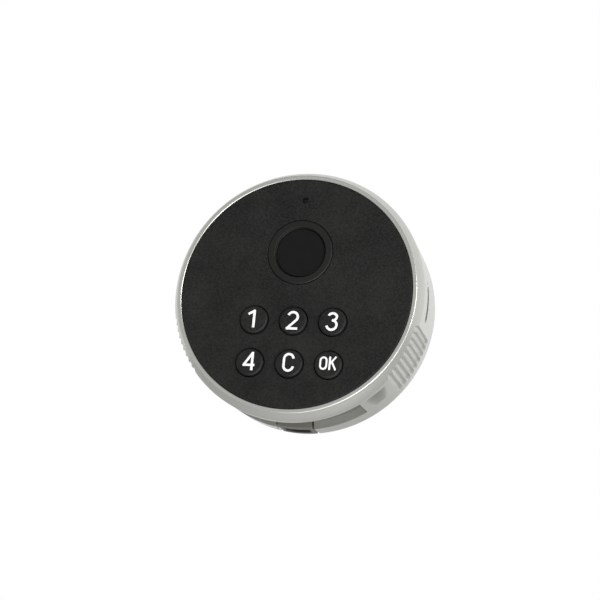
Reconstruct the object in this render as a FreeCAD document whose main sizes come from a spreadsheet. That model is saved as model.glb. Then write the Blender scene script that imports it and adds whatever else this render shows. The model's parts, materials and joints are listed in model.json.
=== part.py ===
# Fingerprint cam lock: a round battery-powered knob that turns on a threaded barrel and drives a cam.
# Row frame in millimetres: +Z up, the face looks towards -Y, the door face is the plane y = 0.
# Depths are measured forwards from the door face, so a point at depth d lies at y = -d.
import FreeCAD, Part
import math
import os
import Sketcher

sizes = {
    # housing
    "rear_gap": 1.0,
    "shell_depth": 20.3,
    "bezel_width": 0.9,
    "edge_drop": 0.3,
    "edge_out": 0.15,
    "belly_out": 1.35,
    "belly_drop": 2.8,
    "tail_in": 1.15,
    "tail_round": 0.8,
    "ledge_width": 2.63,
    "skirt_step": 0.9,
    "ledge_depth": 5.2,
    # finger window with its insert, and the notch for the socket
    "window_rear": 7.4,
    "window_front": 16.6,
    "window_half_angle": 33.5,
    "window_clear": 0.1,
    "insert_sunk": 2.75,
    "insert_seat": 0.3,
    "insert_lip": 1.0,
    "insert_lip_rear": 6.4,
    "insert_lip_front": 14.8,
    "insert_lip_extra": 3.5,
    "tab_half_angle": 8.3,
    "tab_slit": 0.55,
    "tab_rear": 1.3,
    "tab_sunk": 0.1,
    "port_turn": 2.0,
    # grip flutes, scoops and side slot
    "flute_count": 9,
    "flute_pitch": 3.05,
    "flute_first": 13.4,
    "flute_round": 0.8,
    "flute_depth": 0.42,
    "flute_front_drop": 1.9,
    "flute_rear": 5.0,
    "scoop_angle": 48.5,
    "scoop_round": 7.0,
    "scoop_depth": 0.85,
    "scoop_rear": 8.6,
    "scoop_front": 16.4,
    "slot_height": 0.9,
    "slot_length": 9.6,
    "slot_width": 1.7,
    "slot_depth": 13.0,
    # face plate
    "plate_radius": 27.83,
    "plate_gap": 0.07,
    "plate_thick": 2.0,
    "plate_edge": 0.25,
    "post_x": 20.0,
    "post_z": 9.0,
    "post_radius": 2.0,
    "post_root": 0.5,
    "light_height": 22.7,
    "light_bore": 0.75,
    # fingerprint sensor
    "sensor_height": 10.0,
    "glass_radius": 5.8,
    "glass_gap": 0.1,
    "sensor_body": 6.6,
    "ring_radius": 7.75,
    "ring_gap": 0.15,
    "ring_proud": 0.2,
    "ring_flange": 9.0,
    "glass_sunk": 0.35,
    # keys
    "key_radius": 3.3,
    "key_gap": 0.25,
    "key_proud": 0.8,
    "key_round": 0.5,
    "key_flange": 4.2,
    "key_flange_thick": 0.8,
    "key_seat_gap": 0.05,
    "key_stem": 1.6,
    "key_travel": 0.4,
    "key_pitch_x": 9.48,
    "key_row_top": -6.74,
    "key_row_low": -17.08,
    "switch_side": 4.0,
    "switch_base": 0.8,
    "switch_button": 1.1,
    "switch_height": 1.2,
    # boards and what is on them
    "board_gap": 0.6,
    "board_thick": 1.2,
    "board_drop": 3.0,
    "board_screw": 0.8,
    "board_screw_gap": 0.05,
    "board_screw_head": 1.7,
    "board_screw_head_high": 1.1,
    "board_screw_grip": 2.2,
    "buzzer_radius": 4.5,
    "buzzer_high": 3.0,
    "buzzer_x": 8.0,
    "buzzer_z": -14.0,
    "chip_side": 7.0,
    "chip_high": 1.0,
    "chip_z": 14.5,
    "plug_x": -9.0,
    "plug_z": -14.5,
    "plug_wide": 5.0,
    "plug_tall": 4.0,
    "plug_high": 3.5,
    # power socket
    "socket_wide": 5.9,
    "socket_high": 2.5,
    "socket_wall": 0.35,
    "socket_gap": 0.1,
    "socket_sunk": 0.2,
    "socket_length": 5.6,
    "socket_floor": 0.8,
    "socket_board_wide": 10.0,
    "socket_board_long": 7.2,
    "socket_board_thick": 0.8,
    "tongue_wide": 3.4,
    "tongue_thick": 0.55,
    "tongue_sunk": 0.6,
    "header_wide": 7.6,
    "header_thick": 2.2,
    "header_inset": 2.0,
    # back plate and its screws
    "back_plate_thick": 2.0,
    "back_plate_gap": 0.1,
    "neck_gap": 0.08,
    "boss_inset": 2.2,
    "boss_radius": 2.6,
    "boss_front": 12.0,
    "boss_angle_top": 50.0,
    "boss_angle_low": 45.0,
    "back_screw": 1.0,
    "back_screw_gap": 0.05,
    "back_screw_head": 1.9,
    "back_screw_head_high": 1.1,
    "back_screw_grip": 6.0,
    "sink_gap": 0.2,
    # barrel
    "gasket_thick": 0.8,
    "gasket_radius": 19.5,
    "base_radius": 20.0,
    "base_thick": 2.0,
    "base_chamfer": 0.4,
    "barrel_radius": 9.5,
    "barrel_length": 20.0,
    "barrel_flat": 8.2,
    "barrel_bore": 5.06,
    "barrel_chamfer": 0.8,
    "neck_radius": 9.0,
    "neck_front": 8.0,
    "clip_groove": 8.2,
    "clip_radius": 11.0,
    "clip_thick": 0.9,
    "clip_gap": 0.1,
    "clip_opening": 5.0,
    "stop_radius": 1.5,
    "stop_seat": 1.5,
    "stop_end_gap": 0.3,
    "stop_circle": 15.0,
    "stop_angle": 45.0,
    "stop_gap": 0.25,
    "knob_range": 90.0,
    "nut_flats": 26.0,
    "nut_thick": 5.0,
    "nut_spare": 2.2,
    "thread_gap": 0.05,
    "washer_gap": 0.15,
    "gasket_gap": 0.2,
    "washer_radius": 14.0,
    "washer_thick": 0.9,
    # spindle, drive disc and cam
    "spindle_radius": 5.0,
    "disc_gap": 0.1,
    "disc_radius": 9.5,
    "disc_thick": 3.5,
    "disc_notch": 2.6,
    "peg_side": 6.0,
    "peg_gap": 0.05,
    "disc_screw_head": 3.6,
    "disc_screw_head_high": 1.4,
    "disc_screw": 1.2,
    "disc_screw_long": 5.5,
    "screw_hole_spare": 0.5,
    "cam_gap": 0.15,
    "cam_thick": 3.0,
    "cam_width": 15.0,
    "cam_reach": 32.0,
    "cam_square": 7.0,
    "cam_washer_radius": 6.0,
    "cam_washer_thick": 1.0,
    "cam_screw": 2.0,
    "cam_screw_gap": 0.05,
    "cam_screw_head": 4.2,
    "cam_screw_head_high": 2.6,
    "cam_screw_grip": 8.0,
    # clutch
    "pin_wide": 3.6,
    "pin_length": 5.0,
    "pin_rest_gap": 0.4,
    "pin_gap": 0.1,
    "lead_screw": 0.8,
    "lead_screw_gap": 0.1,
    "lead_screw_tip": 1.3,
    "cradle_front": 13.2,
    "cradle_inner": 11.3,
    "cradle_inset": 1.2,
    "cradle_web": 0.6,
    "cradle_half": 5.2,
    "motor_radius": 3.0,
    "motor_start": 16.6,
    "motor_gap": 0.05,
    "motor_shaft_depth": 1.2,
    # battery
    "cell_wide": 9.0,
    "cell_tall": 20.2,
    "cell_thick": 7.0,
    "cell_round": 1.2,
    "cell_gap": 0.15,
    "holder_wall": 0.9,
    "holder_floor": 1.0,
    "holder_side": 11.4,
    "holder_front": 10.0,
}


class Size:
    # a number together with the expression that ties it to the sheet
    def __init__(self, value, text):
        self.value = value
        self.text = text

    def __add__(self, other):
        other = sized(other)
        return Size(self.value + other.value, f"({self.text} + {other.text})")

    def __radd__(self, other):
        return sized(other) + self

    def __sub__(self, other):
        other = sized(other)
        return Size(self.value - other.value, f"({self.text} - {other.text})")

    def __rsub__(self, other):
        return sized(other) - self

    def __mul__(self, other):
        other = sized(other)
        return Size(self.value * other.value, f"({self.text} * {other.text})")

    def __rmul__(self, other):
        return sized(other) * self

    def __truediv__(self, other):
        other = sized(other)
        return Size(self.value / other.value, f"({self.text} / {other.text})")

    def __neg__(self):
        return Size(-self.value, f"(0 - {self.text})")


def sized(number):
    return number if isinstance(number, Size) else Size(float(number), f"({number:.9g})")


def cosine(angle):
    angle = sized(angle)
    return Size(math.cos(math.radians(angle.value)), f"cos({angle.text})")


def sine(angle):
    angle = sized(angle)
    return Size(math.sin(math.radians(angle.value)), f"sin({angle.text})")


class Sheet:
    pass


doc = FreeCAD.newDocument("FingerprintCamLock")
sheet = doc.addObject("Spreadsheet::Sheet", "Dims")
d = Sheet()
for row, (name, number) in enumerate(sizes.items(), 1):
    sheet.set(f"A{row}", name.replace("_", " "))
    sheet.set(f"B{row}", str(number))
    sheet.setAlias(f"B{row}", name)
    setattr(d, name, Size(float(number), f"Dims.{name}"))
doc.recompute()

# radii that follow the face plate
bezel_radius = d.plate_radius + d.plate_gap + d.bezel_width
edge_radius = bezel_radius + d.edge_out
belly_radius = bezel_radius + d.belly_out
tail_radius = belly_radius - d.tail_in
cavity_radius = d.plate_radius - d.ledge_width
skirt_bore = cavity_radius + d.skirt_step
insert_radius = belly_radius - d.insert_sunk
insert_inner = cavity_radius - d.insert_seat
insert_lip_inner = cavity_radius - d.insert_lip
tab_inner = skirt_bore + d.window_clear
tab_outer = tail_radius - d.tab_sunk
board_radius = cavity_radius - d.board_gap
boss_circle = cavity_radius - d.boss_inset
cradle_outer = cavity_radius - d.cradle_inset
socket_outer = insert_radius - d.socket_sunk
socket_inner = socket_outer - d.socket_length
socket_board_outer = insert_lip_inner
socket_board_inner = socket_board_outer - d.socket_board_long

# depths and places that several pieces share
face = d.rear_gap + d.shell_depth
tail_start = d.rear_gap + d.tail_round
plate_rear = face - d.plate_thick
board_front = plate_rear - d.board_drop
board_rear = board_front - d.board_thick
key_flange_front = plate_rear - d.key_seat_gap
base_front = d.gasket_thick + d.base_thick
back_plate_rear = d.ledge_depth - d.back_plate_thick
clip_rear = d.ledge_depth + d.clip_gap * 2
nut_place = d.barrel_length - d.nut_thick - d.nut_spare
disc_rear = d.neck_front + d.disc_gap
disc_front = disc_rear + d.disc_thick
clutch_depth = disc_rear + d.disc_thick / 2
cam_front = -(d.barrel_length + d.cam_gap)
cam_rear = cam_front - d.cam_thick
pin_start = d.disc_radius + d.pin_rest_gap
socket_depth = d.ledge_depth - d.socket_high / 2
port_x = -(insert_radius * sine(d.port_turn))
down = 270
full_turn = 360
beyond = 4
over = 1

nodes = []


def tie(thing, path, size):
    thing.setExpression(path, sized(size).text)


def node(thing, name):
    thing.Label = name
    nodes.append(thing)
    return thing


def new_body(name):
    return doc.addObject("PartDesign::Body", name)


def place(thing, x=None, depth=None, z=None):
    for axis, size in (("x", x), ("y", None if depth is None else -sized(depth)), ("z", z)):
        if size is not None:
            tie(thing, f".Placement.Base.{axis}", size)
    return thing


def new_sketch(body, name, plane="XZ_Plane", offset=None):
    # on XZ the offset is a depth and a pad runs forwards, on XY it is a height, on YZ a distance to the right
    sketch = body.newObject("Sketcher::SketchObject", name)
    origin = next(o for o in body.Origin.OriginFeatures if o.Role == plane)
    sketch.AttachmentSupport = [(origin, "")]
    sketch.MapMode = "FlatFace"
    if offset is not None:
        tie(sketch, ".AttachmentOffset.Base.z", offset)
    return sketch


def hold(sketch, kind, size, *where):
    size = sized(size)
    index = sketch.addConstraint(Sketcher.Constraint(kind, *where, size.value))
    tie(sketch, f"Constraints[{index}]", size)


def hold_point(sketch, edge, end, x, y):
    hold(sketch, "DistanceX", x, -1, 1, edge, end)
    hold(sketch, "DistanceY", y, -1, 1, edge, end)


def circle(sketch, x, y, radius):
    x, y, radius = sized(x), sized(y), sized(radius)
    centre = FreeCAD.Vector(x.value, y.value, 0)
    edge = sketch.addGeometry(Part.Circle(centre, FreeCAD.Vector(0, 0, 1), radius.value))
    hold_point(sketch, edge, 3, x, y)
    hold(sketch, "Radius", radius, edge)


def outline(sketch, corners):
    # each corner is (x, y), or (x, y, radius) where an arc of that radius runs on to the next one:
    # a positive radius turns counterclockwise, a negative one clockwise
    points = [FreeCAD.Vector(sized(c[0]).value, sized(c[1]).value, 0) for c in corners]
    edges = []
    for index, corner in enumerate(corners):
        start, end = points[index], points[(index + 1) % len(corners)]
        if len(corner) == 2:
            edges.append((sketch.addGeometry(Part.LineSegment(start, end)), 1, 2))
            continue
        radius = abs(sized(corner[2]).value)
        side = 1 if sized(corner[2]).value > 0 else -1
        chord = end - start
        left = FreeCAD.Vector(-chord.y, chord.x, 0) / chord.Length
        middle = (start + end) * 0.5
        centre = middle + left * side * math.sqrt(max(radius ** 2 - (chord.Length / 2) ** 2, 0))
        first, last = (start, end) if side > 0 else (end, start)
        angles = [math.atan2(p.y - centre.y, p.x - centre.x) for p in (first, last)]
        if angles[1] < angles[0]:
            angles[1] += 2 * math.pi
        whole = Part.Circle(centre, FreeCAD.Vector(0, 0, 1), radius)
        edge = sketch.addGeometry(Part.ArcOfCircle(whole, *angles))
        edges.append((edge, 1, 2) if side > 0 else (edge, 2, 1))
    for index, (edge, first, last) in enumerate(edges):
        following, start, end = edges[(index + 1) % len(edges)]
        sketch.addConstraint(Sketcher.Constraint("Coincident", edge, last, following, start))
    for (edge, first, last), corner in zip(edges, corners):
        hold_point(sketch, edge, first, corner[0], corner[1])
        if len(corner) == 3:
            radius = sized(corner[2])
            hold(sketch, "Radius", radius if radius.value > 0 else -radius, edge)


def rectangle(sketch, x0, y0, x1, y1):
    outline(sketch, [(x0, y0), (x1, y0), (x1, y1), (x0, y1)])


def polar(radius, angle):
    return radius * cosine(angle), radius * sine(angle)


def sector(sketch, inner, outer, start, end):
    # a piece of a ring between two azimuths less than half a turn apart
    outline(sketch, [
        (*polar(outer, start), outer),
        polar(outer, end),
        (*polar(inner, end), -sized(inner)),
        polar(inner, start),
    ])


def stadium(sketch, x, y, length, width):
    # a slot along the sketch's x with round ends, each made of two quarter arcs
    x, y, half, radius = sized(x), sized(y), sized(length) / 2, sized(width) / 2
    straight = half - radius
    outline(sketch, [
        (x - straight, y - radius),
        (x + straight, y - radius, radius),
        (x + half, y, radius),
        (x + straight, y + radius),
        (x - straight, y + radius, radius),
        (x - half, y, radius),
    ])


def feature(body, kind, name, sketch):
    made = body.newObject(f"PartDesign::{kind}", name)
    made.Profile = sketch
    return made


def pad(body, name, sketch, length):
    made = feature(body, "Pad", name, sketch)
    tie(made, "Length", length)
    return made


def pocket(body, name, sketch, length):
    # cuts against the sketch's normal: rearwards on XZ, down on XY, to the left on YZ
    made = feature(body, "Pocket", name, sketch)
    tie(made, "Length", length)
    return made


def spin(body, name, profile, kind="Revolution"):
    # turns a profile of (radius, depth) corners about the body's own Y axis
    sketch = new_sketch(body, f"{name}Sketch", "XY_Plane")
    outline(sketch, [(c[0], -sized(c[1]), *(-sized(r) for r in c[2:])) for c in profile])
    made = feature(body, kind, name, sketch)
    made.ReferenceAxis = (sketch, ["V_Axis"])
    made.Angle = full_turn
    return made


def polar_pattern(body, name, original, count, span):
    made = body.newObject("PartDesign::PolarPattern", name)
    made.Originals = [original]
    made.Axis = (next(o for o in body.Origin.OriginFeatures if o.Role == "Y_Axis"), [""])
    tie(made, "Occurrences", count)
    tie(made, "Angle", span)
    body.Tip = made
    return made


def mirror_left_right(body, name, original):
    made = body.newObject("PartDesign::Mirrored", name)
    made.Originals = [original]
    made.MirrorPlane = (next(o for o in body.Origin.OriginFeatures if o.Role == "YZ_Plane"), [""])
    body.Tip = made
    return made


def box(name, x0, x1, depth0, depth1, z0, z1):
    made = doc.addObject("Part::Box", name)
    tie(made, "Length", sized(x1) - x0)
    tie(made, "Width", sized(depth1) - depth0)
    tie(made, "Height", sized(z1) - z0)
    return place(made, x0, depth1, z0)


def group(name, members):
    made = doc.addObject("Part::Compound", name)
    made.Links = members
    return node(made, name)


def housing_shell():
    body = new_body("housing_shell")
    spin(body, "Shell", [
        (bezel_radius, face),
        (edge_radius, face - d.edge_drop),
        (belly_radius, face - d.belly_drop),
        (tail_radius, tail_start),
        (tail_radius - d.tail_round, d.rear_gap),
        (skirt_bore, d.rear_gap),
        (skirt_bore, d.ledge_depth),
        (cavity_radius, d.ledge_depth),
        (cavity_radius, plate_rear),
        (d.plate_radius + d.plate_gap, plate_rear),
        (d.plate_radius + d.plate_gap, face),
    ])
    for name, angle in (
        ("BossTopRight", d.boss_angle_top),
        ("BossTopLeft", 180 - d.boss_angle_top),
        ("BossLowRight", -d.boss_angle_low),
        ("BossLowLeft", 180 + d.boss_angle_low),
    ):
        sketch = new_sketch(body, f"{name}Sketch", "XZ_Plane", d.ledge_depth)
        x, z = polar(boss_circle, angle)
        circle(sketch, x, z, d.boss_radius)
        circle(sketch, x, z, d.back_screw + d.back_screw_gap)
        pad(body, name, sketch, d.boss_front - d.ledge_depth)
    window = new_sketch(body, "WindowSketch", "XZ_Plane", d.window_front)
    sector(window, insert_inner, belly_radius + beyond, down - d.window_half_angle, down + d.window_half_angle)
    pocket(body, "Window", window, d.window_front - d.window_rear)
    notch = new_sketch(body, "NotchSketch", "XZ_Plane", d.window_rear + d.window_clear)
    notch_half = d.tab_half_angle + d.tab_slit / insert_radius * math.degrees(1)
    middle = down - d.port_turn
    sector(notch, insert_inner, belly_radius + beyond, middle - notch_half, middle + notch_half)
    pocket(body, "Notch", notch, d.window_rear + d.window_clear)
    slot = new_sketch(body, "SlotSketch", "YZ_Plane", belly_radius + beyond)
    half, radius = d.slot_length / 2, d.slot_width / 2
    outline(slot, [
        (-(d.slot_depth + radius), d.slot_height + half - radius),
        (-(d.slot_depth + radius), d.slot_height - half + radius, radius),
        (-d.slot_depth, d.slot_height - half, radius),
        (-(d.slot_depth - radius), d.slot_height - half + radius),
        (-(d.slot_depth - radius), d.slot_height + half - radius, radius),
        (-d.slot_depth, d.slot_height + half, radius),
    ])
    pocket(body, "SideSlot", slot, belly_radius + beyond - cavity_radius + over)
    scoop = new_sketch(body, "ScoopSketch", "XZ_Plane", d.scoop_front)
    x, z = polar(belly_radius - d.scoop_depth + d.scoop_round, -d.scoop_angle)
    circle(scoop, x, z, d.scoop_round)
    right_scoop = pocket(body, "Scoop", scoop, d.scoop_front - d.scoop_rear)
    mirror_left_right(body, "ScoopLeft", right_scoop)
    grip_flutes(body)
    return node(body, "housing_shell")


def wall_radius(depth):
    # the tapered wall between its widest ring and its rear edge
    widest = face - d.belly_drop
    slope = (belly_radius - tail_radius) / (widest - tail_start)
    return tail_radius + (sized(depth) - tail_start) * slope


def grip_flutes(body):
    # a round-ended cutter along the tapered wall, turned about its own line and repeated round the knob
    front = face - d.flute_front_drop
    lift = d.flute_round - d.flute_depth
    span = d.flute_pitch * (d.flute_count - 1)
    for side, first in (("Right", d.flute_first), ("Left", 180 - d.flute_first - span)):
        sketch = new_sketch(body, f"Flute{side}Sketch", "XY_Plane")
        sketch.AttachmentOffset = FreeCAD.Placement(FreeCAD.Vector(), FreeCAD.Rotation(FreeCAD.Vector(0, 1, 0), 1))
        tie(sketch, ".AttachmentOffset.Rotation.Angle", first)
        x0, y0 = wall_radius(front) + lift, -front
        x1, y1 = wall_radius(d.flute_rear) + lift, -d.flute_rear
        outline(sketch, [
            (x0, y0),
            (x1, y1),
            (x1 + d.flute_round * 0.8, y1 - d.flute_round * 0.6),
            (x0 + d.flute_round, y0 + d.flute_round * 1.2),
        ])
        line = sketch.addGeometry(Part.LineSegment(
            FreeCAD.Vector(x0.value, y0.value, 0), FreeCAD.Vector(x1.value, y1.value, 0)), True)
        hold_point(sketch, line, 1, x0, y0)
        hold_point(sketch, line, 2, x1, y1)
        flute = feature(body, "Groove", f"Flute{side}", sketch)
        flute.ReferenceAxis = (sketch, ["Axis0"])
        flute.Angle = full_turn
        polar_pattern(body, f"Flutes{side}", flute, d.flute_count, span)


def port_insert():
    # grey moulding behind the finger window, with a tab that carries the socket's opening
    body = new_body("port_insert")
    half = d.window_half_angle - d.window_clear * 2
    plug = new_sketch(body, "PlugSketch", "XZ_Plane", d.window_rear + d.window_clear)
    sector(plug, insert_inner, insert_radius, down - half, down + half)
    pad(body, "Plug", plug, d.window_front - d.window_rear - d.window_clear * 2)
    lip = new_sketch(body, "LipSketch", "XZ_Plane", d.insert_lip_rear)
    lip_half = d.window_half_angle + d.insert_lip_extra
    sector(lip, insert_lip_inner, cavity_radius - d.window_clear, down - lip_half, down + lip_half)
    pad(body, "Lip", lip, d.insert_lip_front - d.insert_lip_rear)
    tab = new_sketch(body, "TabSketch", "XZ_Plane", d.tab_rear)
    middle = down - d.port_turn
    sector(tab, tab_inner, insert_radius, middle - d.tab_half_angle, middle + d.tab_half_angle)
    pad(body, "Tab", tab, d.window_rear + over - d.tab_rear)
    surround = new_sketch(body, "SurroundSketch", "XZ_Plane", d.tab_rear)
    sector(surround, tab_inner, tab_outer, middle - d.tab_half_angle, middle + d.tab_half_angle)
    pad(body, "Surround", surround, d.window_rear - d.tab_rear)
    opening = new_sketch(body, "OpeningSketch", "XY_Plane", -(insert_lip_inner - over))
    stadium(opening, port_x, -socket_depth, d.socket_wide + d.socket_gap * 2, d.socket_high + d.socket_gap * 2)
    pocket(body, "Opening", opening, belly_radius - insert_lip_inner + over)
    return node(body, "port_insert")


key_places = {
    "key_1": (-d.key_pitch_x, d.key_row_top),
    "key_2": (sized(0), d.key_row_top),
    "key_3": (d.key_pitch_x, d.key_row_top),
    "key_4": (-d.key_pitch_x, d.key_row_low),
    "key_c": (sized(0), d.key_row_low),
    "key_ok": (d.key_pitch_x, d.key_row_low),
}
post_places = [
    (d.post_x, d.post_z),
    (-d.post_x, d.post_z),
    (-d.post_x, -d.post_z),
    (d.post_x, -d.post_z),
]


def face_plate():
    body = new_body("face_plate")
    spin(body, "Plate", [
        (0, plate_rear),
        (d.plate_radius, plate_rear),
        (d.plate_radius, face - d.plate_edge),
        (d.plate_radius - d.plate_edge, face),
        (0, face),
    ])
    posts = new_sketch(body, "PostsSketch", "XZ_Plane", board_front)
    for x, z in post_places:
        circle(posts, x, z, d.post_radius)
    pad(body, "Posts", posts, d.board_drop + d.post_root)
    screws = new_sketch(body, "ScrewHolesSketch", "XZ_Plane", plate_rear - d.post_root)
    for x, z in post_places:
        circle(screws, x, z, d.board_screw + d.board_screw_gap)
    pocket(body, "ScrewHoles", screws, d.board_drop)
    holes = new_sketch(body, "HolesSketch", "XZ_Plane", face + over)
    circle(holes, 0, d.sensor_height, d.ring_radius + d.ring_gap)
    circle(holes, 0, d.light_height, d.light_bore)
    for x, z in key_places.values():
        circle(holes, x, z, d.key_radius + d.key_gap)
    pocket(body, "Holes", holes, d.plate_thick + over * 2)
    return node(body, "face_plate")


def sensor_ring():
    body = new_body("sensor_ring")
    lip_inner = d.glass_radius + d.glass_gap
    body_inner = d.sensor_body + d.glass_gap
    glass_front = face - d.glass_sunk
    spin(body, "Ring", [
        (body_inner, plate_rear - 0.85),
        (d.ring_flange, plate_rear - 0.85),
        (d.ring_flange, plate_rear),
        (d.ring_radius, plate_rear),
        (d.ring_radius, face),
        (d.ring_radius - 0.2, face + d.ring_proud),
        (d.ring_radius - 0.85, face + d.ring_proud),
        (lip_inner, glass_front - 0.05),
        (lip_inner, glass_front - 0.8),
        (body_inner, glass_front - 0.8),
    ])
    return node(place(body, z=d.sensor_height), "sensor_ring")


def fingerprint_sensor():
    body = new_body("fingerprint_sensor")
    glass_front = face - d.glass_sunk
    spin(body, "Sensor", [
        (0, board_front),
        (d.sensor_body, board_front),
        (d.sensor_body, glass_front - 0.9),
        (d.glass_radius, glass_front - 0.9),
        (d.glass_radius, glass_front - 0.1),
        (d.glass_radius - 0.1, glass_front),
        (0, glass_front),
    ])
    return node(place(body, z=d.sensor_height), "fingerprint_sensor")


def keys():
    stem_end = board_front + d.switch_height + d.key_travel + d.key_seat_gap
    top = face + d.key_proud
    for name, (x, z) in key_places.items():
        body = new_body(name)
        spin(body, "Key", [
            (0, stem_end),
            (d.key_stem, stem_end),
            (d.key_stem, key_flange_front - d.key_flange_thick),
            (d.key_flange, key_flange_front - d.key_flange_thick),
            (d.key_flange, key_flange_front),
            (d.key_radius, key_flange_front),
            (d.key_radius, top - d.key_round, d.key_round),
            (d.key_radius - d.key_round, top),
            (0, top),
        ])
        node(place(body, x, z=z), name)


def key_switches():
    members = []
    for index, (x, z) in enumerate(key_places.values()):
        body = new_body(f"key_switch_{index}")
        base = new_sketch(body, "BaseSketch", "XZ_Plane", board_front)
        half = d.switch_side / 2
        rectangle(base, -half, -half, half, half)
        pad(body, "Base", base, d.switch_base)
        button = new_sketch(body, "ButtonSketch", "XZ_Plane", board_front)
        circle(button, 0, 0, d.switch_button)
        pad(body, "Button", button, d.switch_height)
        members.append(place(body, x, z=z))
    group("key_switches", members)


def light_pipe():
    body = new_body("light_pipe")
    spin(body, "Pipe", [
        (0, board_front + 1),
        (1.4, board_front + 1),
        (1.4, plate_rear),
        (d.light_bore - 0.1, plate_rear),
        (d.light_bore - 0.1, face - 0.8),
        (0, face - 0.8),
    ])
    return node(place(body, z=d.light_height), "light_pipe")


def main_board():
    body = new_body("main_board")
    board = new_sketch(body, "BoardSketch", "XZ_Plane", board_rear)
    circle(board, 0, 0, board_radius)
    for x, z in post_places:
        circle(board, x, z, d.board_screw + d.board_screw_gap * 4)
    pad(body, "Board", board, d.board_thick)
    return node(body, "main_board")


def screw(name, shank, head, head_high, head_rear, length):
    # a cylinder head with its seat at the front and the shank running forwards
    body = new_body(name)
    seat = head_rear + head_high
    rim = head_high / 4
    spin(body, "Screw", [
        (0, head_rear),
        (head - rim, head_rear),
        (head, head_rear + rim),
        (head, seat),
        (shank, seat),
        (shank, seat + length),
        (0, seat + length),
    ])
    return body


def board_screws():
    members = []
    for index, (x, z) in enumerate(post_places):
        part = screw(f"board_screw_{index}", d.board_screw, d.board_screw_head, d.board_screw_head_high,
                     board_rear - d.board_screw_head_high, d.board_thick + d.board_screw_grip)
        members.append(place(part, x, z=z))
    group("board_screws", members)


def board_parts():
    node(box("status_led", -0.8, 0.8, board_front, board_front + 0.8,
             d.light_height - 0.6, d.light_height + 0.6), "status_led")
    buzzer = new_body("buzzer")
    spin(buzzer, "Buzzer", [
        (1, board_rear - d.buzzer_high),
        (d.buzzer_radius, board_rear - d.buzzer_high),
        (d.buzzer_radius, board_rear),
        (0, board_rear),
        (0, board_rear - d.buzzer_high + 1),
        (1, board_rear - d.buzzer_high + 1),
    ])
    node(place(buzzer, d.buzzer_x, z=d.buzzer_z), "buzzer")
    half = d.chip_side / 2
    node(box("control_chip", -half, half, board_rear - d.chip_high, board_rear,
             d.chip_z - half, d.chip_z + half), "control_chip")
    wide, tall = d.plug_wide / 2, d.plug_tall / 2
    node(box("battery_plug", d.plug_x - wide, d.plug_x + wide, board_rear - d.plug_high, board_rear,
             d.plug_z - tall, d.plug_z + tall), "battery_plug")
    header_z = -(socket_board_inner + d.header_inset)
    wide, thick = d.header_wide / 2, d.header_thick / 2
    node(box("board_header", port_x - wide, port_x + wide, d.ledge_depth + d.socket_board_thick, board_rear,
             header_z - thick, header_z + thick), "board_header")


def power_socket():
    # the sleeve opens downwards, with the contact tongue inside it
    body = new_body("power_socket")
    sleeve = new_sketch(body, "SleeveSketch", "XY_Plane", -socket_outer)
    stadium(sleeve, port_x, -socket_depth, d.socket_wide, d.socket_high)
    pad(body, "Sleeve", sleeve, d.socket_length)
    mouth = new_sketch(body, "MouthSketch", "XY_Plane", -(socket_inner + d.socket_floor))
    stadium(mouth, port_x, -socket_depth, d.socket_wide - d.socket_wall * 2, d.socket_high - d.socket_wall * 2)
    pocket(body, "Mouth", mouth, d.socket_length)
    tongue = new_sketch(body, "TongueSketch", "XY_Plane", -(socket_outer - d.tongue_sunk))
    half, thick = d.tongue_wide / 2, d.tongue_thick / 2
    rectangle(tongue, port_x - half, -socket_depth - thick, port_x + half, -socket_depth + thick)
    pad(body, "Tongue", tongue, d.socket_length - d.tongue_sunk - d.socket_floor / 2)
    node(body, "power_socket")
    half = d.socket_board_wide / 2
    node(box("socket_board", port_x - half, port_x + half, d.ledge_depth, d.ledge_depth + d.socket_board_thick,
             -socket_board_outer, -socket_board_inner), "socket_board")


def back_screw_places():
    angles = (d.boss_angle_top, 180 - d.boss_angle_top, -d.boss_angle_low, 180 + d.boss_angle_low)
    return [polar(boss_circle, angle) for angle in angles]


def back_plate():
    body = new_body("back_plate")
    disc = new_sketch(body, "DiscSketch", "XZ_Plane", back_plate_rear)
    circle(disc, 0, 0, skirt_bore - d.back_plate_gap)
    circle(disc, 0, 0, d.neck_radius + d.neck_gap)
    pad(body, "Disc", disc, d.back_plate_thick)
    holes = new_sketch(body, "ScrewHolesSketch", "XZ_Plane", d.ledge_depth + over)
    sink_floor = back_plate_rear + d.back_screw_head_high + d.back_plate_gap
    sinks = new_sketch(body, "ScrewSinksSketch", "XZ_Plane", sink_floor)
    for x, z in back_screw_places():
        circle(holes, x, z, d.back_screw + d.back_screw_gap)
        circle(sinks, x, z, d.back_screw_head + d.sink_gap)
    pocket(body, "ScrewHoles", holes, d.back_plate_thick + over * 2)
    pocket(body, "ScrewSinks", sinks, d.back_screw_head_high + over * 2)
    stop = new_sketch(body, "StopSlotSketch", "XZ_Plane", d.ledge_depth + over)
    end_angle = (d.stop_radius + d.stop_gap) / d.stop_circle * math.degrees(1)
    half = d.stop_radius + d.stop_gap
    sector(stop, d.stop_circle - half, d.stop_circle + half,
           d.stop_angle - end_angle, d.stop_angle + d.knob_range + end_angle)
    pocket(body, "StopSlot", stop, d.back_plate_thick + over * 2)
    notch = new_sketch(body, "SocketNotchSketch", "XZ_Plane", d.ledge_depth + over)
    wide = d.socket_wide / 2 + d.socket_gap * 3
    rectangle(notch, port_x - wide, -(skirt_bore + over), port_x + wide, -(socket_inner - d.socket_gap * 2))
    pocket(body, "SocketNotch", notch, d.back_plate_thick + over * 2)
    return node(body, "back_plate")


def back_screws():
    members = []
    for index, (x, z) in enumerate(back_screw_places()):
        part = screw(f"back_screw_{index}", d.back_screw, d.back_screw_head, d.back_screw_head_high,
                     back_plate_rear + d.back_plate_gap, d.back_screw_grip)
        members.append(place(part, x, z=z))
    group("back_screws", members)


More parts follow.
